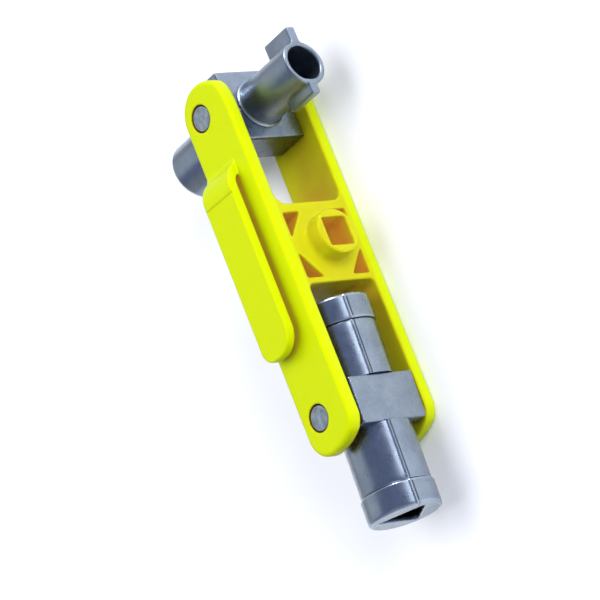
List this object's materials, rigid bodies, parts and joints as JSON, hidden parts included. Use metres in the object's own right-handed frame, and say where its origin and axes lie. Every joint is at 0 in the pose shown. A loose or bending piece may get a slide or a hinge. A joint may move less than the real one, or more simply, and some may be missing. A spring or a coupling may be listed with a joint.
{
  "type": "folding hydrant and cabinet key",
  "caption": "Folding hydrant and cabinet key: moulded yoke with square drive and belt clip, holding double-ended swivel socket and double-bit keys on cross pins.",
  "frame": {"origin": "the yoke's mid-length and mid-depth, on the right cheek's outer face, which the tool rests on", "axes": "+X along the yoke from the upper fork to the lower fork, +Y out of the face with the square drive, +Z across the yoke from the right cheek to the clip"},
  "size_m": [0.1121, 0.0471, 0.03],
  "materials": {
    "moulded_yoke": "satin moulded nylon, fluorescent yellow",
    "satin_zinc": "satin die-cast zinc, lightly polished",
    "pin_steel": "turned steel pin, faced flush"
  },
  "bodies": {
    "yoke": {"yoke_frame": "moulded_yoke", "upper_pivot_pin": "pin_steel", "lower_pivot_pin": "pin_steel"},
    "clip": {"belt_clip": "moulded_yoke"},
    "upper_key": {"upper_pivot_block": "satin_zinc", "double_bit_tube": "satin_zinc", "small_square_barrel": "satin_zinc"},
    "lower_key": {"lower_pivot_block": "satin_zinc", "triangle_barrel": "satin_zinc", "triangle_socket_ring": "satin_zinc", "square_barrel": "satin_zinc", "square_socket_ring": "satin_zinc"}
  },
  "joints": [
    {"name": "upper_key_swivel", "type": "hinge", "parent": "yoke", "child": "upper_key", "pos_m": [-0.0385, -0.00205, 0.013], "axis": [0, 0, 1], "continuous": true},
    {"name": "lower_key_swivel", "type": "hinge", "parent": "yoke", "child": "lower_key", "pos_m": [0.0375, -0.00205, 0.013], "axis": [0, 0, 1], "continuous": true},
    {"name": "clip_flex", "type": "hinge", "parent": "yoke", "child": "clip", "pos_m": [-0.024, 0, 0.0263], "axis": [0, -1, 0], "range_deg": [0, 5], "stiffness_Nm_per_rad": 1.5}
  ]
}
